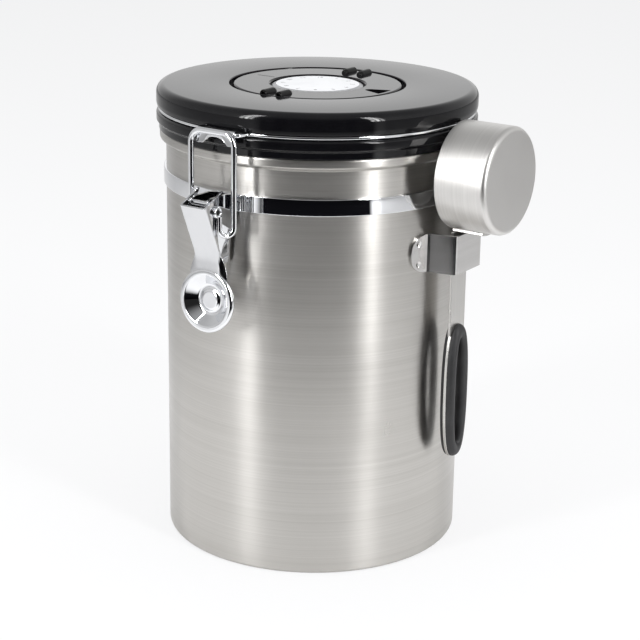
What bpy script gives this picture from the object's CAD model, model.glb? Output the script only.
# Food canister with a wire bail clamp, a dated lid and a scoop in a side strap
from math import cos, pi, radians, sin, tan
import bmesh
import bpy
from mathutils import Matrix, Vector


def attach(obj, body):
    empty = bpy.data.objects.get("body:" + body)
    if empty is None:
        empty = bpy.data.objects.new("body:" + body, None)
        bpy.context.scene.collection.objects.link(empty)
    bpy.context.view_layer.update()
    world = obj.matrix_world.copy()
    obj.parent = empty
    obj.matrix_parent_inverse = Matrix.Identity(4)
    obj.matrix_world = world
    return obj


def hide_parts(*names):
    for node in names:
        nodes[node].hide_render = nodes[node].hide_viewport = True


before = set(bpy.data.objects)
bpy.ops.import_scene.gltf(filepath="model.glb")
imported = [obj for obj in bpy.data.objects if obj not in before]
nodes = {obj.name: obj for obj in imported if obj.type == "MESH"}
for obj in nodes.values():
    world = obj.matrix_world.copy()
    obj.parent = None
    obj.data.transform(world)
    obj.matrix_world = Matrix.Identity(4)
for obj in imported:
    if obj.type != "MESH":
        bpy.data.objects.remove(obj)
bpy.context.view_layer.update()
scene = bpy.context.scene
mm = 0.001
print("frame loaded:", len(nodes), "nodes")

camera = {
    "distance": 0.71221, "height": 0.31501,  # from the can's axis, and above its base
    "focal": 101.984, "sensor": 36.0,
    "near": 0.02, "far": 30,
    "pitch": 17.8004, "yaw": 0.1916, "roll": 0.8988,
    "turn": 33.8225,  # how far round the can the camera stands
}


def placeCamera(setup):
    pitch, yaw, roll = (radians(setup[k]) for k in ("pitch", "yaw", "roll"))
    ahead = Vector((sin(yaw) * cos(pitch), cos(yaw) * cos(pitch), -sin(pitch)))
    side = ahead.cross(Vector((0, 0, 1))).normalized()
    top = side.cross(ahead)
    right = side * cos(roll) + top * sin(roll)
    up = top * cos(roll) - side * sin(roll)
    basis = Matrix((right, up, -ahead)).transposed().to_4x4()
    basis.translation = Vector((0, -setup["distance"], setup["height"]))
    data = bpy.data.cameras.new("camera")
    data.lens, data.sensor_width, data.sensor_fit = setup["focal"], setup["sensor"], "HORIZONTAL"
    data.clip_start, data.clip_end = setup["near"], setup["far"]
    cam = bpy.data.objects.new("camera", data)
    scene.collection.objects.link(cam)
    cam.matrix_world = Matrix.Rotation(radians(setup["turn"]), 4, "Z") @ basis
    scene.camera = cam


placeCamera(camera)
scene.view_settings.view_transform = "Standard"
print("camera placed")


def newGroup(name, inputs):
    # a shader group that puts out a surface's colour, roughness and height
    group = bpy.data.node_groups.new(name, "ShaderNodeTree")
    for label, kind, value in inputs:
        socket = group.interface.new_socket(label, in_out="INPUT", socket_type="NodeSocket" + kind)
        socket.default_value = value
    for label, kind in (("Color", "Color"), ("Roughness", "Float"), ("Height", "Float")):
        group.interface.new_socket(label, in_out="OUTPUT", socket_type="NodeSocket" + kind)
    group.nodes.new("NodeGroupOutput")
    return group, group.nodes.new("NodeGroupInput")


def addNode(tree, kind, values=None, **settings):
    node = tree.nodes.new("ShaderNode" + kind)
    for key, value in settings.items():
        setattr(node, key, value)
    for key, value in (values or {}).items():
        node.inputs[key].default_value = value
    return node


def fillRamp(ramp, stops):
    elements = ramp.color_ramp.elements
    while len(elements) > 1:
        elements.remove(elements[-1])
    elements[0].position, elements[0].color = stops[0]
    for position, color in stops[1:]:
        elements.new(position).color = color


def putOut(group, colors, mask, limits, rough, height):
    # the mask mixes two colour inputs, and two more inputs are the ends of the roughness
    link, gin, gout = group.links.new, group.nodes["Group Input"], group.nodes["Group Output"]
    color = addNode(group, "Mix", data_type="RGBA")
    link(mask, color.inputs["Factor"])
    link(gin.outputs[colors[0]], color.inputs["A"])
    link(gin.outputs[colors[1]], color.inputs["B"])
    link(gin.outputs[limits[0]], rough.inputs["To Min"])
    link(gin.outputs[limits[1]], rough.inputs["To Max"])
    link(color.outputs["Result"], gout.inputs["Color"])
    link(rough.outputs[0], gout.inputs["Roughness"])
    link(height, gout.inputs["Height"])


def brushedGrainGroup():
    # fine lines from a belt: noise squeezed across the lines and stretched along them
    group, gin = newGroup("brushedGrain", [
        ("Fine", "Vector", (4, 4, 1500)), ("Coarse", "Vector", (3, 3, 260)), ("Cloud", "Float", 22.0),
        ("Rough Low", "Float", 0.24), ("Rough High", "Float", 0.34),
        ("Dark", "Color", (0.5, 0.49, 0.47, 1)), ("Light", "Color", (0.62, 0.61, 0.59, 1)),
    ])
    link = group.links.new
    place = addNode(group, "TexCoord")
    grains = []
    for label, detail in (("Fine", 2.0), ("Coarse", 4.0)):
        stretch = addNode(group, "VectorMath", operation="MULTIPLY")
        link(place.outputs["Object"], stretch.inputs[0])
        link(gin.outputs[label], stretch.inputs[1])
        grain = addNode(group, "TexNoise", {"Scale": 1.0, "Detail": detail, "Roughness": 0.6})
        link(stretch.outputs[0], grain.inputs["Vector"])
        grains.append(grain)
    cloud = addNode(group, "TexNoise", {"Detail": 3.0, "Roughness": 0.55})
    link(place.outputs["Object"], cloud.inputs["Vector"])
    link(gin.outputs["Cloud"], cloud.inputs["Scale"])
    both = addNode(group, "Mix", {"Factor": 0.45}, data_type="FLOAT")
    link(grains[0].outputs["Fac"], both.inputs["A"])
    link(grains[1].outputs["Fac"], both.inputs["B"])
    tint = addNode(group, "Mix", {"Factor": 0.3}, data_type="FLOAT")
    link(both.outputs[0], tint.inputs["A"])
    link(cloud.outputs["Fac"], tint.inputs["B"])
    spread = addNode(group, "MapRange", {"From Min": 0.32, "From Max": 0.68})
    link(tint.outputs[0], spread.inputs["Value"])
    rough = addNode(group, "MapRange", {"From Min": 0.3, "From Max": 0.7})
    link(cloud.outputs["Fac"], rough.inputs["Value"])
    putOut(group, ("Dark", "Light"), spread.outputs[0], ("Rough Low", "Rough High"), rough, both.outputs[0])
    return group


def handlingGroup():
    # faint smears and dust from handling, which vary the gloss
    group, gin = newGroup("handlingMarks", [
        ("Size", "Float", 40.0), ("Gloss", "Float", 0.05), ("Smear", "Float", 0.12),
        ("Clean", "Color", (0.01, 0.01, 0.01, 1)), ("Dusty", "Color", (0.02, 0.02, 0.02, 1)),
    ])
    link = group.links.new
    place = addNode(group, "TexCoord")
    smear = addNode(group, "TexNoise", {"Detail": 5.0, "Roughness": 0.62, "Distortion": 0.7})
    link(place.outputs["Object"], smear.inputs["Vector"])
    link(gin.outputs["Size"], smear.inputs["Scale"])
    mask = addNode(group, "MapRange", {"From Min": 0.42, "From Max": 0.72})
    link(smear.outputs["Fac"], mask.inputs["Value"])
    rough = addNode(group, "MapRange")
    link(mask.outputs[0], rough.inputs["Value"])
    ripple = addNode(group, "TexNoise", {"Scale": 160.0, "Detail": 2.0})
    link(place.outputs["Object"], ripple.inputs["Vector"])
    putOut(group, ("Clean", "Dusty"), mask.outputs[0], ("Gloss", "Smear"), rough, ripple.outputs["Fac"])
    return group


brushedGrain = brushedGrainGroup()
handlingMarks = handlingGroup()


def newMaterial(name, group, groupValues, shaderValues, bump, bumpDepth):
    mat = bpy.data.materials.new(name)
    mat.use_nodes = True
    tree = mat.node_tree
    shader = tree.nodes["Principled BSDF"]
    for key, value in shaderValues.items():
        shader.inputs[key].default_value = value
    source = addNode(tree, "Group", node_tree=group)
    for key, value in groupValues.items():
        source.inputs[key].default_value = value
    relief = addNode(tree, "Bump", {"Strength": bump, "Distance": bumpDepth})
    link = tree.links.new
    link(source.outputs["Color"], shader.inputs["Base Color"])
    link(source.outputs["Roughness"], shader.inputs["Roughness"])
    link(source.outputs["Height"], relief.inputs["Height"])
    link(relief.outputs["Normal"], shader.inputs["Normal"])
    return mat


def stretchHighlights(mat, axis):
    # the lines run round this axis, so the light spreads across them
    tree = mat.node_tree
    way = addNode(tree, "Tangent", direction_type="RADIAL", axis=axis)
    tree.links.new(way.outputs["Tangent"], tree.nodes["Principled BSDF"].inputs["Tangent"])


def steel(name, dark, light, fine, coarse, rough, bump=0.12, stretch=0.0):
    # fine and coarse say how tight the brushed lines are along x, y and z
    grain = {"Fine": fine, "Coarse": coarse, "Rough Low": rough[0], "Rough High": rough[1],
             "Dark": (*dark, 1), "Light": (*light, 1)}
    metal = {"Metallic": 1.0, "Anisotropic": stretch, "Anisotropic Rotation": 0.25 if stretch else 0.0}
    return newMaterial(name, brushedGrain, grain, metal, bump, 0.00002)


def smooth(name, clean, dusty, rough, shaderValues, bump=0.02, size=40.0):
    # rough is the roughness where the surface is clean and where it is smeared
    marks = {"Clean": (*clean, 1), "Dusty": (*dusty, 1), "Gloss": rough[0], "Smear": rough[1], "Size": size}
    return newMaterial(name, handlingMarks, marks, shaderValues, bump, 0.0001)


def polished(name, clean, dusty, rough):
    return smooth(name, clean, dusty, rough, {"Metallic": 1.0}, size=55.0)


def plastic(name, clean, dusty, rough, ior=1.5, bump=0.02, size=40.0):
    return smooth(name, clean, dusty, rough, {"IOR": ior}, bump, size)


canSteel = steel("canSteel", (0.46, 0.447, 0.424), (0.59, 0.576, 0.553), (3, 3, 1700), (2.5, 2.5, 300),
                 (0.27, 0.36), bump=0.15, stretch=0.85)
stretchHighlights(canSteel, "Z")
cupSteel = steel("cupSteel", (0.6, 0.59, 0.575), (0.74, 0.73, 0.715), (1500, 6, 6), (300, 5, 5),
                 (0.36, 0.44), bump=0.15)
stripSteel = steel("stripSteel", (0.55, 0.54, 0.52), (0.68, 0.67, 0.65), (8, 1500, 8), (6, 300, 6),
                   (0.24, 0.34))
strapSteel = steel("strapSteel", (0.62, 0.61, 0.6), (0.74, 0.73, 0.72), (6, 6, 1500), (5, 5, 300),
                   (0.12, 0.22))
chrome = polished("brightChrome", (0.82, 0.83, 0.85), (0.76, 0.77, 0.79), (0.025, 0.07))
plateChrome = polished("plateChrome", (0.64, 0.645, 0.66), (0.59, 0.595, 0.61), (0.08, 0.15))
deepBlack = plastic("deepBlack", (0.003, 0.003, 0.003), (0.006, 0.006, 0.006), (0.3, 0.42), ior=1.3)
lidBlack = plastic("lidBlack", (0.004, 0.004, 0.005), (0.008, 0.008, 0.009), (0.05, 0.1), ior=1.37)
plainBlack = plastic("plainBlack", (0.012, 0.012, 0.013), (0.025, 0.025, 0.027), (0.28, 0.42))
dialWhite = plastic("dialWhite", (0.72, 0.73, 0.75), (0.67, 0.68, 0.7), (0.35, 0.5))
rimGrey = plastic("rimGrey", (0.3, 0.305, 0.315), (0.25, 0.255, 0.265), (0.3, 0.42))
numberInk = plastic("numberInk", (0.2, 0.2, 0.21), (0.26, 0.26, 0.27), (0.4, 0.5))
dayInk = plastic("dayInk", (0.7, 0.7, 0.71), (0.62, 0.62, 0.63), (0.4, 0.5))
gripRubber = plastic("gripRubber", (0.014, 0.014, 0.015), (0.03, 0.03, 0.032), (0.45, 0.6), bump=0.15,
                     size=90.0)
print("materials made")


def addPiece(mesh, body, material, stands=()):
    piece = bpy.data.objects.new(mesh.name, mesh)
    scene.collection.objects.link(piece)
    mesh.materials.append(material)
    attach(piece, body)
    if stands:
        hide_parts(*stands)
    return piece


def addChrome(mesh, body, stands):
    return addPiece(mesh, body, chrome, [stands])


def finishMesh(name, bm):
    bmesh.ops.remove_doubles(bm, verts=bm.verts, dist=1e-7)
    bmesh.ops.recalc_face_normals(bm, faces=bm.faces)
    mesh = bpy.data.meshes.new(name)
    bm.to_mesh(mesh)
    bm.free()
    mesh.shade_smooth()
    mesh.set_sharp_from_angle(angle=radians(38))
    return mesh


def across(half, count):
    # from -half to half in equal steps
    return [half * (2 * i / count - 1) for i in range(count + 1)]


def along(first, last, count):
    return [first + (last - first) * k / count for k in range(count + 1)]


def eased(share):
    # 0 to 1 with a soft start and end
    share = min(1, max(0, share))
    return share * share * (3 - 2 * share)


def cornerArc(corners, i, radius, size):
    # the centre of the arc that rounds corner i, and the way from there to its two ends
    at, before, after = (Vector(corners[k % len(corners)][:size]) for k in (i, i - 1, i + 1))
    before = (before - at).normalized()
    after = (after - at).normalized()
    half = before.angle(after) / 2
    centre = at + (before + after).normalized() * radius / sin(half)
    return centre, at + before * radius / tan(half) - centre, at + after * radius / tan(half) - centre


def rounded(corners, steps=8):
    # corners are (x, y) or (x, y, radius), and a radius turns the corner into an arc
    points = []
    for i, corner in enumerate(corners):
        if len(corner) < 3:
            points.append(Vector(corner))
            continue
        centre, start, end = cornerArc(corners, i, corner[2], 2)
        points += [centre + start.lerp(end, part).normalized() * corner[2] for part in along(0, 1, steps)]
    return points


def bentPath(corners, steps):
    # a wire's corners as (x, y, z) or (x, y, z, bend radius)
    points = []
    for i, corner in enumerate(corners):
        if len(corner) < 4:
            points.append(Vector(corner))
            continue
        centre, start, end = cornerArc(corners, i, corner[3], 3)
        points += [centre + start.slerp(end, part, start).normalized() * corner[3]
                   for part in along(0, 1, steps)]
    return points


def split(path, longest):
    # adds points to a path so that no step is much longer than this
    fine = []
    for a, b in zip(path, path[1:]):
        pieces = max(1, int((b - a).length / longest))
        fine += [a.lerp(b, k / pieces) for k in range(pieces)]
    return fine + [path[-1]]


def turned(name, corners, steps, place=None, arcSteps=8):
    # a closed outline of (radius, height) in millimetres, turned round Z
    bm = bmesh.new()
    ring = [bm.verts.new((p.x * mm, 0, p.y * mm)) for p in rounded(corners, arcSteps)]
    edges = [bm.edges.new((ring[i], ring[(i + 1) % len(ring)])) for i in range(len(ring))]
    bmesh.ops.spin(bm, geom=ring + edges, cent=(0, 0, 0), axis=(0, 0, 1), angle=2 * pi, steps=steps,
                   use_merge=True)
    if place:
        bm.transform(place)
    return finishMesh(name, bm)


def sawn(name, corners, depth, place):
    # a flat outline of (x, y) in millimetres, as thick as depth along its own Z
    bm = bmesh.new()
    face = bm.faces.new([bm.verts.new((p.x * mm, p.y * mm, 0)) for p in rounded(corners)])
    out = bmesh.ops.extrude_face_region(bm, geom=[face])
    top = [v for v in out["geom"] if isinstance(v, bmesh.types.BMVert)]
    bmesh.ops.translate(bm, verts=top, vec=(0, 0, depth * mm))
    bm.transform(place)
    return finishMesh(name, bm)


def joinRows(bm, first, second, closed=True):
    count = len(first)
    for i in range(count if closed else count - 1):
        j = (i + 1) % count
        bm.faces.new((first[i], first[j], second[j], second[i]))


def sheetMesh(name, rows, closed=False):
    # a grid of points in millimetres, row after row
    bm = bmesh.new()
    grid = [[bm.verts.new(Vector(p) * mm) for p in row] for row in rows]
    for upper, lower in zip(grid, grid[1:]):
        joinRows(bm, upper, lower, closed)
    return finishMesh(name, bm)


def softenEdges(piece, width, segments=2, angle=32):
    bevel = piece.modifiers.new("softEdges", "BEVEL")
    bevel.width, bevel.segments = width * mm, segments
    bevel.limit_method, bevel.angle_limit = "ANGLE", radians(angle)
    bevel.harden_normals = True


def thicken(piece, thickness, offset=0.0):
    solid = piece.modifiers.new("gauge", "SOLIDIFY")
    solid.thickness, solid.offset = thickness * mm, offset
    return piece


def shownMesh(source):
    # what a curve or text object shows, as a mesh of its own
    scene.collection.objects.link(source)
    bpy.context.view_layer.update()
    mesh = bpy.data.meshes.new_from_object(source.evaluated_get(bpy.context.evaluated_depsgraph_get()))
    mesh.name = source.name
    bpy.data.objects.remove(source)
    return mesh


def wireMesh(name, points, radius, closed=False, thin=None):
    # thin gives each point's share of the radius
    curve = bpy.data.curves.new(name, "CURVE")
    curve.dimensions = "3D"
    curve.bevel_depth, curve.bevel_resolution = radius * mm, 6
    curve.use_fill_caps = True
    spline = curve.splines.new("POLY")
    spline.points.add(len(points) - 1)
    for i, p in enumerate(points):
        spline.points[i].co = (*(Vector(p) * mm), 1)
        spline.points[i].radius = thin[i] if thin else 1
    spline.use_cyclic_u = closed
    mesh = shownMesh(bpy.data.objects.new(name, curve))
    mesh.materials.clear()
    mesh.shade_smooth()
    mesh.set_sharp_from_angle(angle=radians(50))
    return mesh


def moved(x, y, z):
    return Matrix.Translation(Vector((x, y, z)) * mm)


# an outline that is turned is (radius, height) in millimetres, then the corner's own radius if it has one
can = {
    "radius": 60, "sheet": 0.8,
    "base": 1.6,  # radius of the turn under the wall
    "bead": 62.5, "beadLow": 164.3, "beadTop": 167.9,
    "lip": 60.2, "lipTop": 173,
    "mouth": 58.2, "collar": 63.8, "collarLow": 167.75, "collarTop": 174.85, "collarStep": 62.8,
    "bandOn": 60.02, "band": 61, "bandLow": 145.9, "bandTop": 152.4, "bandCorner": 0.35,
    "turns": 256,  # steps round the can
}

r, bead, lip = can["radius"], can["bead"], can["lip"]
inside, lipInside = r - can["sheet"], lip - can["sheet"]
wallOutline = [
    (0, 0.5), (51, 0.5, 0.4), (52, 0, 0.5), (r, 0, can["base"]), (r, 163.0, 0.5),
    (bead, can["beadLow"], 0.9), (bead, can["beadTop"] - 0.2, 0.9), (lip, 167.7), (lip, can["lipTop"]),
    (lipInside, can["lipTop"]), (lipInside, 166.9), (61.4, 166.8, 0.5), (61.4, 165.2, 0.9),
    (inside, 163.9, 0.9), (inside, 1, 1.2), (0, 1),
]
addPiece(turned("canWall", wallOutline, can["turns"]), "canister", canSteel, ["canister_body"])

low, top, mouth, collar, step = (can[k] for k in ("collarLow", "collarTop", "mouth", "collar", "collarStep"))
collarOutline = [
    (60.3, low), (step, low, 0.3), (step, 170.3, 0.35), (collar, 171.3, 0.4), (collar, top, 1.1),
    (mouth, top, 0.5), (mouth, 169.2, 0.3), (59.3, 169.2), (59.3, 173.1), (60.3, 173.1),
]
addPiece(turned("mouthCollar", collarOutline, can["turns"]), "canister", lidBlack,
         ["collar_ring"])

on, out, low, top, corner = (can[k] for k in ("bandOn", "band", "bandLow", "bandTop", "bandCorner"))
bandOutline = [(on, low), (out, low, corner), (out, top, corner), (on, top)]
addChrome(turned("clampBand", bandOutline, can["turns"]), "canister", "clamp_band")
print("canister made")

lid = {
    "rim": 63.8, "top": 185.1, "skirt": 176.75,
    "pocket": 35.0, "pocketFloor": 181.2, "pocketUnder": 179.6,
    "bore": 3.05, "roof": 183.0,  # hole for the dials' pivot, and the underside
}

rim, top, pocket, bore, under = lid["rim"], lid["top"], lid["pocket"], lid["bore"], lid["pocketUnder"]
lidOutline = [
    (60.9, lid["skirt"]), (63.5, lid["skirt"], 0.4), (rim, 178.4, 1.0), (rim, top, 3.3), (pocket, top, 0.45),
    (pocket, lid["pocketFloor"]), (bore, lid["pocketFloor"]), (bore, under), (36.8, under),
    (36.8, lid["roof"]), (59.6, lid["roof"]), (61.0, 181.6), (60.9, 179.25),
]
addPiece(turned("lidShell", lidOutline, can["turns"]), "lid", lidBlack, ["lid_shell"])

dial = {
    "discTop": 184.95,
    "barGap": 7.2, "barFrom": 32.4, "barLong": 8.0, "barRadius": 1.62,
    "dialTop": 184.75, "dialRadius": 18.0, "dialFoot": 183.75, "dialEdge": 0.35,
    "flat": 16.5,  # the white flat inside the grey slope
    "monthAt": 13.6, "monthSize": 2.7,
    "dayAt": 28.2, "daySize": 4.4, "dayTurn": 2.9, "plateTop": 181.72,
    "raised": 0.03,  # how far the numbers stand up
    "tickFrom": 21.0, "tickTo": 29.0, "tickWide": 0.9, "tickSunk": 0.29, "tickDeep": 0.31,
}


def numberRing(name, count, radius, size, top, start=0.0):
    # the numbers 1 to count round a circle, on the surface at the height of top
    bm = bmesh.new()
    for i in range(count):
        text = bpy.data.curves.new(name, "FONT")
        text.body, text.size, text.extrude = str(i + 1), size * mm, dial["raised"] * mm
        text.align_x = text.align_y = "CENTER"
        mesh = shownMesh(bpy.data.objects.new(name, text))
        mesh.transform(Matrix.Rotation(radians(start) - 2 * pi * i / count, 4, "Z") @ moved(0, radius, top))
        bm.from_mesh(mesh)
        bpy.data.meshes.remove(mesh)
    return finishMesh(name, bm)


barRadius, barLong = dial["barRadius"], dial["barLong"]
barOutline = [
    (0, 1.2), (0.7, 1.2), (0.7, 0.05, 0.12), (1.35, 0, 0.2), (barRadius, 0.5, 0.5), (barRadius, 6.8, 1.5),
    (1.15, barLong, 0.5), (0, barLong),
]
for i, (end, side) in enumerate(((1, -1), (1, 1), (-1, -1), (-1, 1))):
    spot = moved(side * dial["barGap"] / 2, -end * dial["barFrom"], dial["discTop"])
    bar = turned("gripBar%d" % (i + 1), barOutline, 48, spot @ Matrix.Rotation(-end * pi / 2, 4, "X"))
    addPiece(bar, "date_dial", deepBlack, ["dial_grips"])

halfTick = dial["tickWide"] / 2
tickOutline = [
    (-dial["tickTo"], -halfTick, 0.1), (-dial["tickFrom"], -halfTick, 0.44),
    (-dial["tickFrom"], halfTick, 0.44), (-dial["tickTo"], halfTick, 0.1),
]
tickPlace = moved(0, 0, dial["discTop"] - dial["tickSunk"])
addPiece(sawn("discTick", tickOutline, dial["tickDeep"], tickPlace), "date_dial", deepBlack)

r, low, top = dial["dialRadius"], dial["dialFoot"], dial["dialTop"]
edge, flat = low + dial["dialEdge"], dial["flat"]
dialOutline = [(0, low), (r, low, 0.2), (r, edge, 0.15), (flat, top, 0.15), (0, top)]
monthPiece = addPiece(turned("monthDial", dialOutline, 160), "month_dial", dialWhite,
                      ["month_dial"])
monthPiece.data.materials.append(rimGrey)
for face in monthPiece.data.polygons:  # the sloping rim is a darker grey than the flat
    face.material_index = 1 if face.center.xy.length > flat * mm else 0
monthNumbers = numberRing("monthNumbers", 12, dial["monthAt"], dial["monthSize"], dial["dialTop"])
addPiece(monthNumbers, "month_dial", numberInk)
dayNumbers = numberRing("dayNumbers", 31, dial["dayAt"], dial["daySize"], dial["plateTop"], dial["dayTurn"])
addPiece(dayNumbers, "lid", dayInk)
print("lid made")

clamp = {
    "pivot": (76.0, 151.2), "eyelet": (74.8, 148.4),  # from the can's axis, and above its base
    "halfWidth": 5.85, "gauge": 0.855, "edge": 0.12,
    "fold": 0.9, "foldShare": 0.6,  # the bend's radius, and its most as a share of the flange's depth
    "frontTop": (81.6, 150.6), "frontLow": (71.3, 127.0),
    # how deep the flanges reach behind the front, down the lever
    "depth": [(0, 12.1), (0.4, 12.3), (1.0, 11.5), (1.8, 10.0), (2.7, 8.7), (3.9, 7.9), (5.7, 7.5),
              (6.5, 6.9), (7.2, 5.9), (8.2, 4.8), (9.6, 3.9), (11.6, 3.1), (15, 2.4), (19, 1.5)],
    "dish": (72.8, 112.8), "dishRadius": 12.35, "dishTilt": 4.6, "roll": 0.9,
    "hug": 46,  # degrees of the rim that each half of the sheet runs to
    "rimDepth": 0.75, "edgeFrom": 0.55,  # how deep it meets the rim, and where that grows less
    "pull": 1.25, "leave": 0.55,  # how straight it leaves the channel and meets the rim
    "neckRows": 14,
}


def clampSide(x, out, z):
    # a point on the clamp's side of the can
    return (x, -out, z)


def leverFront(setup):
    # where the lever's front starts, and the way down it
    top = Vector(setup["frontTop"])
    return top, (Vector(setup["frontLow"]) - top).normalized()


def leverRow(v, depth, setup):
    # one row across the folded sheet, from one flange's edge round the front to the other's
    top, down = leverFront(setup)
    back = Vector((down.y, -down.x))
    half, fold = setup["halfWidth"], min(setup["fold"], depth * setup["foldShare"])
    points = [(half, depth * (1 - k / 4) + fold * k / 4) for k in range(5)]
    points += [(half - fold + fold * cos(a), fold - fold * sin(a)) for a in along(0, pi / 2, 5)[1:]]
    points += [((half - fold) * (1 - k / 4), 0) for k in range(1, 5)]
    points += [(-x, t) for x, t in reversed(points[:-1])]
    return [clampSide(x, *(top + down * v + back * t)) for x, t in points]


def leverSheet(setup):
    rows = [leverRow(v, depth, setup) for v, depth in setup["depth"]]
    # below the channel each line of the sheet runs on to its own place on the dish's rim
    tilt = radians(setup["dishTilt"])
    upward, outward = Vector((-sin(tilt), cos(tilt))), Vector((cos(tilt), sin(tilt)))
    centre = Vector(setup["dish"])
    down = Vector(clampSide(0, *leverFront(setup)[1]))
    last, reach = rows[-1], setup["dishRadius"] - setup["roll"]
    ends, leaves = [], []
    for part in across(1, len(last) - 1):  # -1 and 1 at the flanges' edges
        angle = radians(90 + setup["hug"] * part)
        depth = setup["rimDepth"] - max(0, abs(part) - setup["edgeFrom"]) / (1 - setup["edgeFrom"])
        spot = centre + upward * reach * sin(angle) + outward * depth
        ends.append(Vector(clampSide(reach * cos(angle), *spot)))
        leaves.append(Vector(clampSide(-cos(angle) * setup["leave"], *(-upward * sin(angle)))))
    for t in along(0, 1, setup["neckRows"])[1:]:
        blend = (2 * t**3 - 3 * t**2 + 1, t**3 - 2 * t**2 + t, 3 * t**2 - 2 * t**3, t**3 - t**2)
        row = []
        for start, end, leave in zip(last, ends, leaves):
            start = Vector(start)
            span = (end - start).length
            ahead = down * span * setup["pull"]
            row.append(start * blend[0] + ahead * blend[1] + end * blend[2] + leave * span * blend[3])
        rows.append(row)
    return sheetMesh("clampLever", rows)


lever = addPiece(leverSheet(clamp), "lever", plateChrome, ["clamp_lever"])
softenEdges(thicken(lever, clamp["gauge"], -1.0), clamp["edge"])

rim = clamp["dishRadius"]
dishOutline = [
    (rim - 1.1, -1.25, 0.15), (rim, -1.25, 0.7), (rim, 1.0, 1.15), (rim - 2.3, 1.0, 1.3), (5.2, -2.9, 1.9),
    (3.6, -1.8, 2.2), (0, -1.9), (0, -2.8), (3.2, -2.8, 1.0), (4.8, -3.9, 1.2), (rim - 2.8, -0.1, 1.0),
    (rim - 1.1, -0.1, 0.3),
]
dishPlace = moved(*clampSide(0, *clamp["dish"])) @ Matrix.Rotation(radians(90 - clamp["dishTilt"]), 4, "X")
addChrome(turned("leverDish", dishOutline, 96, dishPlace), "lever", "clamp_lever")


def acrossPlace(x, out, z, side):
    # turns a piece's own Z to point out along the lever's pins, on the given side
    return moved(*clampSide(side * x, out, z)) @ Matrix.Rotation(side * pi / 2, 4, "Y")


bail = {
    "wire": 1.15, "out": 69.0, "half": 9.9, "top": 176.8, "corner": 5.0, "turn": 141.8,
    "eye": 5.95, "eyeWidth": 1.3, "eyeRadius": 2.2, "hole": 1.35,
    "leg": 0.95, "legOut": 73.9, "legEnd": 1.7,  # the legs stop this far below the eyelets
    "thinOver": 18,  # points over which the wire gets thinner towards the eyes
    "pinHalf": 5.6, "pinRadius": 1.0,
}


def bailPath(setup):
    # half of the wire, from the middle of the top bar to the leg that carries the eye, then its mirror image
    inner = setup["eye"] + setup["leg"]
    out, corner = setup["out"], setup["corner"]
    side = [clampSide(0, out, setup["top"])]
    side += [clampSide(setup["half"] - corner * (1 - sin(a)), out, setup["top"] - corner * (1 - cos(a)))
             for a in along(0, pi / 2, 12)]
    low = Vector(clampSide(setup["half"], out, setup["turn"]))
    high = Vector(clampSide(inner, setup["legOut"], setup["turn"]))
    middle, arm = (low + high) / 2, (low - high) / 2
    side += [tuple(middle + arm * cos(a) - Vector((0, 0, arm.length * sin(a)))) for a in along(0, pi, 16)]
    side.append(clampSide(inner, setup["legOut"], clamp["eyelet"][1] - setup["legEnd"]))
    return [(-x, y, z) for x, y, z in reversed(side[1:])] + side


path = bailPath(bail)
thinned = 1 - bail["leg"] / bail["wire"]
thin = [1 - thinned * max(0, 1 - min(i, len(path) - 1 - i) / bail["thinOver"]) for i in range(len(path))]
addChrome(wireMesh("bailWire", path, bail["wire"], thin=thin), "loop", "wire_loop")

hole, eyeRadius, eyeWidth = bail["hole"], bail["eyeRadius"], bail["eyeWidth"]
eyeOutline = [(hole, 0, 0.3), (eyeRadius, 0, 0.4), (eyeRadius, eyeWidth, 0.42), (hole, eyeWidth, 0.42)]
rivetOutline = [(1.1, -1.5), (1.8, -1.5, 0.2), (1.8, -1.1), (1.3, -1.0), (1.3, 1.0, 0.08), (1.1, 1.0, 0.08)]
boreOutline = [(0, -0.4), (1.12, -0.4), (1.12, 0.92), (0.9, 0.9), (0, 0.85)]
for side, hand in ((1, "Right"), (-1, "Left")):
    place = acrossPlace(bail["eye"], *clamp["eyelet"], side)
    addChrome(turned("bailEye" + hand, eyeOutline, 48, place), "loop", "wire_loop")
    addChrome(turned("eyelet" + hand, rivetOutline, 48, place), "lever", "loop_eyelets")
    addPiece(turned("eyeletBore" + hand, boreOutline, 32, place), "lever", deepBlack)

half, r = bail["pinHalf"], bail["pinRadius"]
pinOutline = [(0, -half), (r, -half, 0.25), (r, half, 0.25), (0, half)]
pinPlace = acrossPlace(0, *clamp["pivot"], 1)
addChrome(turned("pivotPin", pinOutline, 32, pinPlace), "canister", "lever_pivot_pin")

base = {
    "inner": 61.05, "gauge": 0.9,
    "wing": 15.9, "low": 146.2, "high": 152.6, "wingEdge": 0.26,
    "step": 0.55, "stepEnd": 9.1,  # how far the centre is pressed forward, and its half width
    "tailTop": 147.7, "tail": 124.8, "tailHalf": 1.9, "tailSunk": 0.12, "tailEdge": 0.2,
    "shoulder": 5.6, "waist": (136, 2.8), "taper": 1.5,
    "leanFrom": 132, "lean": 0.0625,  # the tail's end leans in towards the wall
    "ears": 3.8, "earGauge": 1.0, "earEdge": 0.15,
}


def platePath(x, setup):
    # how far out the plate's middle surface stands: on the band, with the centre pressed forward
    on = setup["inner"] + setup["gauge"] / 2 + setup["step"] * eased(setup["stepEnd"] - abs(x))
    return (on**2 - x**2) ** 0.5


def wingSheet(setup):
    xs = across(setup["wing"], 48)
    zs = along(setup["low"], setup["high"], 6)
    return sheetMesh("clampWings", [[clampSide(x, platePath(x, setup), z) for x in xs] for z in zs])


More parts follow.
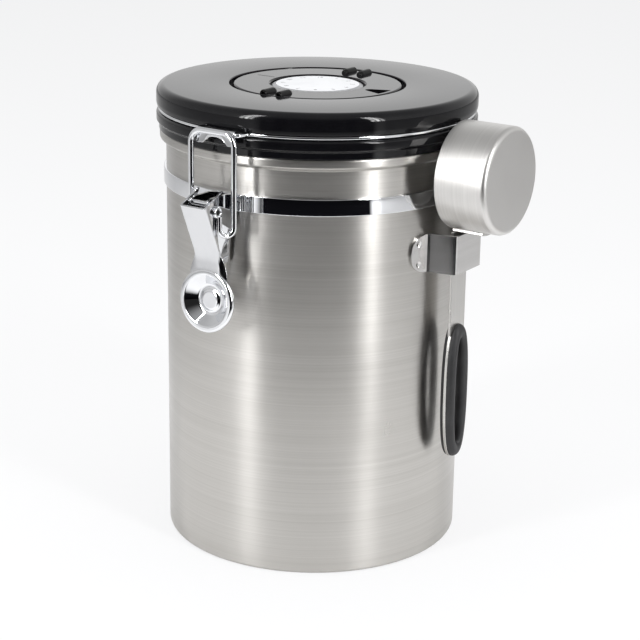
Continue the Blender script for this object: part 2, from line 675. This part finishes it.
def tailSheet(setup):
    flat = setup["inner"] + setup["gauge"] / 2 + setup["step"] - setup["tailSunk"]
    waistAt, waist = setup["waist"]
    rows = []
    for z in along(setup["tailTop"], setup["tail"], 24):
        if z > waistAt:
            t = (z - waistAt) / (setup["low"] - waistAt)
            half = waist + (setup["shoulder"] - waist) * min(1, t) ** setup["taper"]
        else:
            half = waist + (setup["tailHalf"] - waist) * (waistAt - z) / (waistAt - setup["tail"])
        under = setup["tail"] + setup["tailHalf"] - z
        if under > 0:  # the round end
            half = max(0.1, max(0, setup["tailHalf"] ** 2 - under**2) ** 0.5)
        lean = -setup["lean"] * max(0, setup["leanFrom"] - z)
        rows.append([clampSide(x, flat + lean, z) for x in across(half, 8)])
    return sheetMesh("clampTail", rows)


wings = addChrome(wingSheet(base), "canister", "clamp_base")
softenEdges(thicken(wings, base["gauge"]), base["wingEdge"], 3)
tail = addChrome(tailSheet(base), "canister", "clamp_base")
softenEdges(thicken(tail, base["gauge"]), base["tailEdge"], 3)

out, z = clamp["pivot"]
earOutline = [
    (61.9, 138.0, 0.5), (61.9, 152.4, 0.5), (66.0, 153.2, 3.0), (out - 0.6, z + 2.1, 1.0),
    (out + 2.0, z + 1.4, 1.2), (out + 1.7, z - 2.0, 1.2), (out - 4.5, 144.0, 4.0),
]
upright = Matrix(((0, 0, 1, 0), (-1, 0, 0, 0), (0, 1, 0, 0), (0, 0, 0, 1)))  # the outline's x points out
for side, hand in ((-1, "Left"), (1, "Right")):
    place = moved(side * base["ears"] - base["earGauge"] / 2, 0, 0) @ upright
    ear = addChrome(sawn("clampEar" + hand, earOutline, base["earGauge"], place), "canister", "clamp_base")
    softenEdges(ear, base["earEdge"])
print("clamp made")

seam = {
    "height": 175.8, "ring": 62.4, "wire": 0.8,
    "noseOut": 65.9, "noseHalf": 9.3, "noseBend": 1.4, # the wire steps out to the catch and to the hinge
    "leave": 10, "leaveBend": 2.2, "straight": 5,  # degrees from the middle, and on to the first point
}


def seamPath(setup):
    ring, z, out, half = setup["ring"], setup["height"], setup["noseOut"], setup["noseHalf"]

    def on(angle):
        return (ring * sin(radians(angle)), -ring * cos(radians(angle)), z)
    leave, first = setup["leave"], setup["leave"] + setup["straight"]
    nose = [on(-first), (*on(-leave), setup["leaveBend"]), (-half, -out, z, setup["noseBend"]),
            (half, -out, z, setup["noseBend"]), (*on(leave), setup["leaveBend"]), on(first)]
    points = bentPath(nose, 6)
    points += [Vector(on(angle)) for angle in along(first, 180 - first, 60)[1:-1]]
    return [tuple(p) for p in points] + [(-p.x, -p.y, p.z) for p in points]


addChrome(wireMesh("seamRing", seamPath(seam), seam["wire"], closed=True), "lid", "lid_wire_ring")

catch = {
    "half": 8.4, "gauge": 0.75, "edge": 0.2,
    "curl": 1.22, "curlFrom": 225,  # radius round the nose's wire, and degrees it wraps
    "archTop": 174.5, "foot": 171.7, "footFrom": 5.6, "archCurve": 2.4,
    "flare": 0.35, "footFlare": 0.6,  # how far the lower edge stands out, and its share at the feet
}


def catchSheet(setup):
    out, height, curl = seam["noseOut"], seam["height"], setup["curl"]
    xs = across(setup["half"], 32)
    rows = []
    for angle in along(setup["curlFrom"], 0, 14):
        a = radians(angle)
        rows.append([clampSide(x, out + curl * cos(a), height + curl * sin(a)) for x in xs])
    for u in along(0, 1, 8)[1:]:
        row = []
        for x in xs:
            t = min(1, abs(x) / setup["footFrom"])
            low = setup["archTop"] + (setup["foot"] - setup["archTop"]) * t ** setup["archCurve"]
            flare = setup["flare"] * u * u * (1 - (1 - setup["footFlare"]) * t)
            row.append(clampSide(x, out + curl + flare, height + (low - height) * u))
        rows.append(row)
    return sheetMesh("catchLip", rows)


lip = addChrome(catchSheet(catch), "lid", "lid_catch")
softenEdges(thicken(lip, catch["gauge"]), catch["edge"], 3)
print("catch made")

# the hinge stands on the can's +Y side, and its profiles are (distance out, height)
hinge = {
    "axis": (70.0, 175.8), "half": 9.8, "gauge": 0.86, "edge": 0.15, "curl": 1.76,
    "riser": [(61.5, 147.0), (61.5, 153.0, 4), (66.65, 164.3, 8), (67.75, 171.0, 5), (68.2, 175.0)],
    "riserCurl": (180, -95),
    "gap": 5.35, "openAbove": 171.6,  # the riser's slot for the leaf
    "wing": 15.9, "low": 146.3, "high": 152.5, "on": 61.5, "wingEdge": 0.2,
    "leafHalf": 5.1, "leafGauge": 0.8, "leafCurl": (-150, 90), "barCurl": 1.24, "barWrap": (90, 325),
    "pin": 1.2, "head": 1.9, "headWidth": 0.8, "pinProud": 0.1,
}


def curlAround(centre, radius, wrap):
    angles = [radians(a) for a in along(*wrap, 18)]
    return [Vector((centre[0] + radius * cos(a), centre[1] + radius * sin(a))) for a in angles]


def riserMesh(setup):
    # the bracket's upright, slotted for the leaf and curled round the pin
    path = split(rounded(setup["riser"]) + curlAround(setup["axis"], setup["curl"], setup["riserCurl"]), 1.5)
    gap, half = setup["gap"], setup["half"]
    xs = [-half, -(half + gap) / 2, -gap, -gap / 2, 0, gap / 2, gap, (half + gap) / 2, half]
    slotColumns = range(2, 6)
    slotFrom = next(i for i, p in enumerate(path) if p.y > setup["openAbove"])
    bm = bmesh.new()
    grid = [[bm.verts.new(Vector((x, p.x, p.y)) * mm) for x in xs] for p in path]
    for i in range(len(path) - 1):
        for j in range(len(xs) - 1):
            if i < slotFrom or j not in slotColumns:
                bm.faces.new((grid[i][j], grid[i][j + 1], grid[i + 1][j + 1], grid[i + 1][j]))
    bmesh.ops.delete(bm, geom=[v for v in bm.verts if not v.link_faces], context="VERTS")
    return finishMesh("hingeRiser", bm)


def leafMesh(setup):
    path = curlAround(setup["axis"], setup["curl"], setup["leafCurl"])
    path += curlAround((seam["noseOut"], seam["height"]), setup["barCurl"], setup["barWrap"])
    return sheetMesh("hingeLeaf", [[(x, p.x, p.y) for x in across(setup["leafHalf"], 6)] for p in path])


def hingeWingMesh(setup):
    xs = across(setup["wing"], 40)
    zs = along(setup["low"], setup["high"], 4)
    return sheetMesh("hingeWings", [[(x, (setup["on"] ** 2 - x * x) ** 0.5, z) for x in xs] for z in zs])


riser = addChrome(riserMesh(hinge), "canister", "hinge_bracket")
softenEdges(thicken(riser, hinge["gauge"]), hinge["edge"])
hingeWings = addChrome(hingeWingMesh(hinge), "canister", "hinge_bracket")
softenEdges(thicken(hingeWings, hinge["gauge"]), hinge["wingEdge"])
leaf = addChrome(leafMesh(hinge), "lid", "lid_hinge_leaf")
softenEdges(thicken(leaf, hinge["leafGauge"]), hinge["edge"])

pin, head, end = hinge["pin"], hinge["head"], hinge["half"] + hinge["pinProud"]
tip = end + hinge["headWidth"]
halfPin = [(pin, end), (head, end, 0.1), (head, tip - 0.3, 0.25), (pin, tip, 0.3), (0, tip)]
pinOutline = [(c[0], -c[1], *c[2:]) for c in reversed(halfPin)] + halfPin
pinPlace = moved(0, *hinge["axis"]) @ Matrix.Rotation(pi / 2, 4, "Y")
addChrome(turned("hingePin", pinOutline, 40, pinPlace), "canister", "hinge_pin")
print("hinge made")

scoop = {
    "mouth": 66.5, "depth": 21.7, "radius": 20.8, "gauge": 0.8, "height": 157.65,
    "foot": 2.1, "footInside": 1.4,  # the corner round the cup's end, outside and inside
    "stripIn": 66.2, "stripGauge": 1.2, "stripHalf": 5.5, "stripEdge": 0.18, "stripShort": 0.2,
    "hole": 1.2, "overlap": 4.5,  # the strip's hole round the slot, and how far the strip runs over the oval
    "tabFrom": 0.6, "tabLong": 13.2, "tabTurn": 0.267, "tabGauge": 1.16, "tabEdge": 0.2, "tabAir": 0.05,
    "gripHeight": 70.1, "gripTall": 56.0, "gripWide": 14.2, "gripOut": 2.6, "gripIn": 2.0,
    "rimShort": 0.2, "gripAir": 0.02,
    "slotHalf": 2.6, "slotTall": 43.0, "groove": 1.15, # the grip's groove takes the strip's edge
    "squarer": 0.8, "bulge": 2.3,  # how square the oval is, and how full the grip's round is
}

r, end, t = scoop["radius"], scoop["depth"], scoop["gauge"]
cupOutline = [(r - t, 0, 0.3), (r, 0, 0.3), (r, end, scoop["foot"]), (0, end), (0, end - t),
              (r - t, end - t, scoop["footInside"])]
cupPlace = moved(scoop["mouth"], 0, scoop["height"]) @ Matrix.Rotation(pi / 2, 4, "Y")
addPiece(turned("scoopCup", cupOutline, 128, cupPlace, 12), "scoop", cupSteel, ["scoop_cup"])


def oval(halfWide, halfTall):
    # 96 points of an oval a little squarer than an ellipse, round the grip's centre
    def reach(half, part):
        return half * abs(part) ** scoop["squarer"] * (1 if part > 0 else -1)
    angles = [2 * pi * i / 96 for i in range(96)]
    return [(reach(halfWide, cos(a)), scoop["gripHeight"] + reach(halfTall, sin(a))) for a in angles]


wide, tall = scoop["gripWide"] / 2, scoop["gripTall"] / 2
slotHalf, slotTall = scoop["slotHalf"], scoop["slotTall"] / 2
inner, outer = scoop["stripIn"], scoop["stripIn"] + scoop["stripGauge"]


def handleMesh(setup):
    # an oval ring at the foot of a flat strip
    bm = bmesh.new()
    outside, hole = (wide, tall - setup["stripShort"]), (slotHalf + setup["hole"], slotTall + setup["hole"])
    loops = [[bm.verts.new(Vector((x, y, z)) * mm) for y, z in oval(*size)]
             for size, x in ((outside, inner), (outside, outer), (hole, outer), (hole, inner))]
    for a, b in zip(loops, loops[1:] + loops[:1]):
        joinRows(bm, a, b)
    top = setup["height"] - setup["radius"] - setup["stripGauge"]
    zs = along(setup["gripHeight"] + tall - setup["overlap"], top, 12)
    strip = [(-setup["stripHalf"], z) for z in zs] + [(setup["stripHalf"], z) for z in reversed(zs)]
    back, front = ([bm.verts.new(Vector((x, y, z)) * mm) for y, z in strip] for x in (inner, outer))
    joinRows(bm, back, front)
    bm.faces.new(front)
    bm.faces.new(list(reversed(back)))
    return finishMesh("scoopHandle", bm)


handle = addPiece(handleMesh(scoop), "scoop", stripSteel, ["scoop_handle"])
softenEdges(handle, scoop["stripEdge"])


def tabMesh(setup):
    # the tab that the cup stands on, bent out from the strip's top
    under = setup["radius"] + setup["tabAir"] + setup["stripGauge"] / 2
    start = inner + setup["tabFrom"]
    return sheetMesh("scoopTab", [
        [(x, under * sin(a), setup["height"] - under * cos(a)) for a in across(setup["tabTurn"], 12)]
        for x in along(start, start + setup["tabLong"], 24)])


tab = addPiece(tabMesh(scoop), "scoop", stripSteel, ["scoop_handle"])
softenEdges(thicken(tab, scoop["tabGauge"]), scoop["tabEdge"])


def gripMesh(setup):
    # one closed cross-section in (half width, half height, x), carried round the oval
    rimW, rimH = wide - setup["rimShort"], tall - 2 * setup["rimShort"]
    back, front = inner - setup["gripAir"], outer + setup["gripAir"]

    def bulge(face, height):
        points = []
        for k in range(15):
            s = -cos(pi * k / 14)  # -1 at the slot, 1 at the rim
            lift = max(0, 1 - abs(s) ** setup["bulge"]) ** (1 / setup["bulge"])
            share = (s + 1) / 2
            points.append((slotHalf + (rimW - slotHalf) * share, slotTall + (rimH - slotTall) * share,
                           face + height * lift))
        return points
    groove = (slotHalf + setup["groove"], slotTall + setup["groove"])
    sections = bulge(front, setup["gripOut"]) + [(*groove, front), (*groove, back)]
    sections += reversed(bulge(back, -setup["gripIn"]))
    rows = [[(x, y, z) for y, z in oval(w, h)] for w, h, x in sections]
    return sheetMesh("scoopGrip", rows + rows[:1], closed=True)


addPiece(gripMesh(scoop), "scoop", gripRubber, ["handle_grip"])
print("scoop made")

strap = {
    "low": 120.3, "tall": 15.2, "gauge": 1.0, "edge": 0.22,
    "out": 71.4, "halfIn": 11.8, "halfOut": 9.95, "bend": 1.5, "foot": 1.2, "footBend": 1.2,
    "wallAir": 0.05, "flange": 8.3, "flangeSteps": 22, "flangeCurve": 0.75, "flangeTip": 0.3,
    "weldDepth": 0.4, "weldRadius": 0.85, "weldSoft": 0.35, "weldOut": 4.6, "weldApart": 4.0,
}


def strapSheet(setup):
    half, tallHalf = setup["gauge"] / 2, setup["tall"] / 2
    wall = can["radius"] + setup["wallAir"] + half
    middle = setup["low"] + tallHalf
    # plan of the U, from the wall out and across
    foot = (wall**2 - setup["halfIn"] ** 2) ** 0.5
    out, halfIn = setup["out"] - half, setup["halfIn"]
    plan = rounded([(foot, halfIn), (foot + setup["foot"], halfIn - half, setup["footBend"]),
                    (out, setup["halfOut"] - half, setup["bend"]), (out, 0)], 7)
    columns = []  # (x, y, half height, place along the flange)
    for k in range(setup["flangeSteps"]):
        place = setup["flange"] * (1 - k / setup["flangeSteps"])
        y = setup["halfIn"] + place
        spread = (1 - (place / setup["flange"]) ** 2) ** 0.5
        reach = max(setup["flangeTip"], (tallHalf - 0.1) * spread ** setup["flangeCurve"])
        columns.append(((wall**2 - y**2) ** 0.5, y, reach, place))
    columns += [(p.x, p.y, tallHalf, None) for p in split(plan, 1.2)]

    def weldSink(place, height):
        # how deep the spot welds dent the flange there
        if place is None:
            return 0
        sinks = []
        for spot in (-setup["weldApart"], setup["weldApart"]):
            away = ((place - setup["weldOut"]) ** 2 + (height - spot) ** 2) ** 0.5
            soft = setup["weldSoft"]
            sinks.append(setup["weldDepth"] * eased((setup["weldRadius"] + soft - away) / (2 * soft)))
        return max(sinks)
    rows = []
    for part in across(1, 32):
        row = []
        for x, y, reach, place in columns:
            z = middle + part * reach
            shrink = 1 - weldSink(place, z - middle) / (x * x + y * y) ** 0.5
            row.append((x * shrink, y * shrink, z))
        rows.append(row + [(x, -y, z) for x, y, z in reversed(row[:-1])])
    return sheetMesh("scoopStrap", rows)


strapPiece = addPiece(strapSheet(strap), "canister", strapSteel, ["scoop_strap"])
softenEdges(thicken(strapPiece, strap["gauge"]), strap["edge"], 3, 50)
print("strap made")

# plain finishes for the solids that stay
finishes = (
    (plainBlack, ("lid_inner_plate", "valve_housing", "valve_cap", "dial_pivot")),
    (gripRubber, ("lid_gasket", "valve_flap")),
    (chrome, ("inner_plate_screws",)),
    (lidBlack, ("date_disc", "day_number_plate")),
)
for finish, names in finishes:
    for name in names:
        nodes[name].data.materials.clear()
        nodes[name].data.materials.append(finish)
print("solids finished")

studio = {
    "turn": camera["turn"],
    "skyColor": (0.965, 0.968, 0.975), "floorColor": (0.93, 0.93, 0.935),
    "clothColor": (0.004, 0.004, 0.005),  # a dark cloth on the floor that only the object's metal sees
    # light round the object at eye level: bearing from the camera's side, strength
    "around": [(-180, 1.1), (-150, 0.8), (-128, 0.54), (-112, 0.61), (-90, 0.67), (-60, 0.8), (-47, 0.6),
               (-41, 0.08), (-35, 0.02), (34, 0.02), (38, 0.06), (43, 0.5), (50, 0.9), (64, 0.85),
               (110, 0.75), (150, 0.8), (180, 1.1)],
    # how white the floor is as the object's metal sees it, by bearing
    "floorRound": [(-180, 0.9), (-150, 0.8), (-128, 0.65), (-112, 0.7), (-75, 0.73), (-55, 0.8), (-44, 0.9),
                   (-38, 0), (38, 0), (41, 1.0), (45.5, 1.0), (48, 0.62), (64, 0.58), (90, 0.66), (120, 0.72),
                   (150, 0.62), (180, 0.9)],
    "zenith": 0.45, "skyRise": (0.3, 0.95),  # light from straight above, and how high it starts and is full
    "lift": 0.8,  # how much of the floor's white comes straight to the camera
    "reach": (0.19, 0.42),  # how far out the floor's own shade starts and is full
    "floorHalf": 9, "floorDrop": 0.0002,  # the floor lies a hair below the base
    # bearing and strength of each upright strip
    "strips": [(-51.5, 14), (-48, 24), (-44.5, 12), (37.5, 17), (41, 28), (44.5, 10)],
    "stripSize": (0.036, 1.0, 0.86), "stripFoot": 0.15,  # width, height and distance, and its lower end
    "overhead": (1.3, 1.1, 1.8),  # height, size, strength
}


def bearingOf(tree, source, zero):
    # angle round the object from the camera's side, as a part of a full turn
    turn = addNode(tree, "Mapping", {"Rotation": (0, 0, -radians(zero))}, vector_type="POINT")
    parts = addNode(tree, "SeparateXYZ")
    back = addNode(tree, "Math", {1: -1.0}, operation="MULTIPLY")
    angle = addNode(tree, "Math", operation="ARCTAN2")
    share = addNode(tree, "MapRange", {"From Min": -pi, "From Max": pi})
    link = tree.links.new
    link(source, turn.inputs["Vector"])
    link(turn.outputs[0], parts.inputs[0])
    link(parts.outputs["Y"], back.inputs[0])
    link(parts.outputs["X"], angle.inputs[0])
    link(back.outputs[0], angle.inputs[1])
    link(angle.outputs[0], share.inputs["Value"])
    return share.outputs[0], parts.outputs["Z"]


def rampRound(tree, share, stops):
    # a grey for each bearing
    ramp = addNode(tree, "ValToRGB")
    fillRamp(ramp, [((angle + 180) / 360, (level, level, level, 1)) for angle, level in stops])
    tree.links.new(share, ramp.inputs["Fac"])
    return ramp.outputs["Color"]


def buildWorld(setup):
    world = bpy.data.worlds.new("studio")
    scene.world = world
    world.use_nodes = True
    tree = world.node_tree
    tree.nodes.clear()
    link = tree.links.new
    out = addNode(tree, "OutputWorld")
    place = addNode(tree, "TexCoord")
    share, height = bearingOf(tree, place.outputs["Generated"], setup["turn"])
    low, high = setup["skyRise"]
    rise = addNode(tree, "MapRange", {"From Min": low, "From Max": high}, interpolation_type="SMOOTHSTEP")
    link(height, rise.inputs["Value"])
    level = addNode(tree, "Mix", {"B": setup["zenith"]}, data_type="FLOAT")
    link(rise.outputs[0], level.inputs["Factor"])
    link(rampRound(tree, share, setup["around"]), level.inputs["A"])
    room = addNode(tree, "Background", {"Color": (1, 1, 1, 1)})
    link(level.outputs[0], room.inputs["Strength"])
    seen = addNode(tree, "Background", {"Color": (*setup["skyColor"], 1), "Strength": 1.0})
    ray = addNode(tree, "LightPath")
    pick = addNode(tree, "MixShader")
    link(ray.outputs["Is Camera Ray"], pick.inputs[0])
    link(room.outputs[0], pick.inputs[1])
    link(seen.outputs[0], pick.inputs[2])
    link(pick.outputs[0], out.inputs["Surface"])


def floorPaper(setup):
    # white paper, with the dark cloth for every ray but the camera's
    paper = bpy.data.materials.new("studioPaper")
    paper.use_nodes = True
    tree = paper.node_tree
    link = tree.links.new
    shader = tree.nodes["Principled BSDF"]
    shader.inputs["Roughness"].default_value = 0.9
    shader.inputs["Specular IOR Level"].default_value = 0.0
    start, full = setup["reach"]
    place = addNode(tree, "TexCoord")
    share = bearingOf(tree, place.outputs["Object"], setup["turn"])[0]
    reach = addNode(tree, "VectorMath", operation="LENGTH")
    far = addNode(tree, "MapRange", {"From Min": start, "From Max": full}, interpolation_type="SMOOTHSTEP")
    link(place.outputs["Object"], reach.inputs[0])
    link(reach.outputs["Value"], far.inputs["Value"])
    mask = addNode(tree, "Math", operation="MULTIPLY")
    link(far.outputs[0], mask.inputs[0])
    link(rampRound(tree, share, [(angle, 1 - white) for angle, white in setup["floorRound"]]), mask.inputs[1])
    ray = addNode(tree, "LightPath")
    unseen = addNode(tree, "Math", {0: 1.0}, operation="SUBTRACT")
    link(ray.outputs["Is Camera Ray"], unseen.inputs[1])
    shade = addNode(tree, "Math", operation="MULTIPLY")
    link(mask.outputs[0], shade.inputs[0])
    link(unseen.outputs[0], shade.inputs[1])
    color = addNode(tree, "Mix", {"A": (*setup["floorColor"], 1), "B": (*setup["clothColor"], 1)},
                    data_type="RGBA")
    link(shade.outputs[0], color.inputs["Factor"])
    link(color.outputs["Result"], shader.inputs["Base Color"])
    glow = addNode(tree, "Emission", {"Color": (*setup["skyColor"], 1), "Strength": 1.0})
    lift = addNode(tree, "Math", {1: setup["lift"]}, operation="MULTIPLY")
    blend = addNode(tree, "MixShader")
    link(ray.outputs["Is Camera Ray"], lift.inputs[0])
    link(lift.outputs[0], blend.inputs[0])
    link(shader.outputs[0], blend.inputs[1])
    link(glow.outputs[0], blend.inputs[2])
    link(blend.outputs[0], tree.nodes["Material Output"].inputs["Surface"])
    return paper


def layFloor(setup):
    half, drop = setup["floorHalf"], setup["floorDrop"]
    floorMesh = bpy.data.meshes.new("floor")
    floorMesh.from_pydata([(x * half, y * half, -drop) for x, y in ((-1, -1), (1, -1), (1, 1), (-1, 1))], [],
                          [(0, 1, 2, 3)])
    floor = bpy.data.objects.new("floor", floorMesh)
    scene.collection.objects.link(floor)
    floorMesh.materials.append(floorPaper(setup))


def areaLight(name, spot, aim, width, tall, strength):
    data = bpy.data.lights.new(name, "AREA")
    data.shape, data.size, data.size_y = "RECTANGLE", width, tall
    data.energy = strength * pi * width * tall
    lamp = bpy.data.objects.new(name, data)
    scene.collection.objects.link(lamp)
    lamp.visible_camera = False
    lamp.matrix_world = Matrix.Translation(spot) @ (aim - spot).to_track_quat("-Z", "Y").to_matrix().to_4x4()
    return lamp


def hangLights(setup):
    width, tall, distance = setup["stripSize"]
    for i, (angle, strength) in enumerate(setup["strips"]):
        turn = radians(setup["turn"] + angle)
        spot = Vector((sin(turn) * distance, -cos(turn) * distance, tall / 2 + setup["stripFoot"]))
        areaLight("strip%d" % (i + 1), spot, Vector((0, 0, spot.z)), width, tall, strength)
    height, size, strength = setup["overhead"]
    top = areaLight("overhead", Vector((0, 0, height)), Vector((0, 0, 0)), size, size, strength)
    top.visible_glossy = False


buildWorld(studio)
layFloor(studio)
hangLights(studio)
print("studio built")
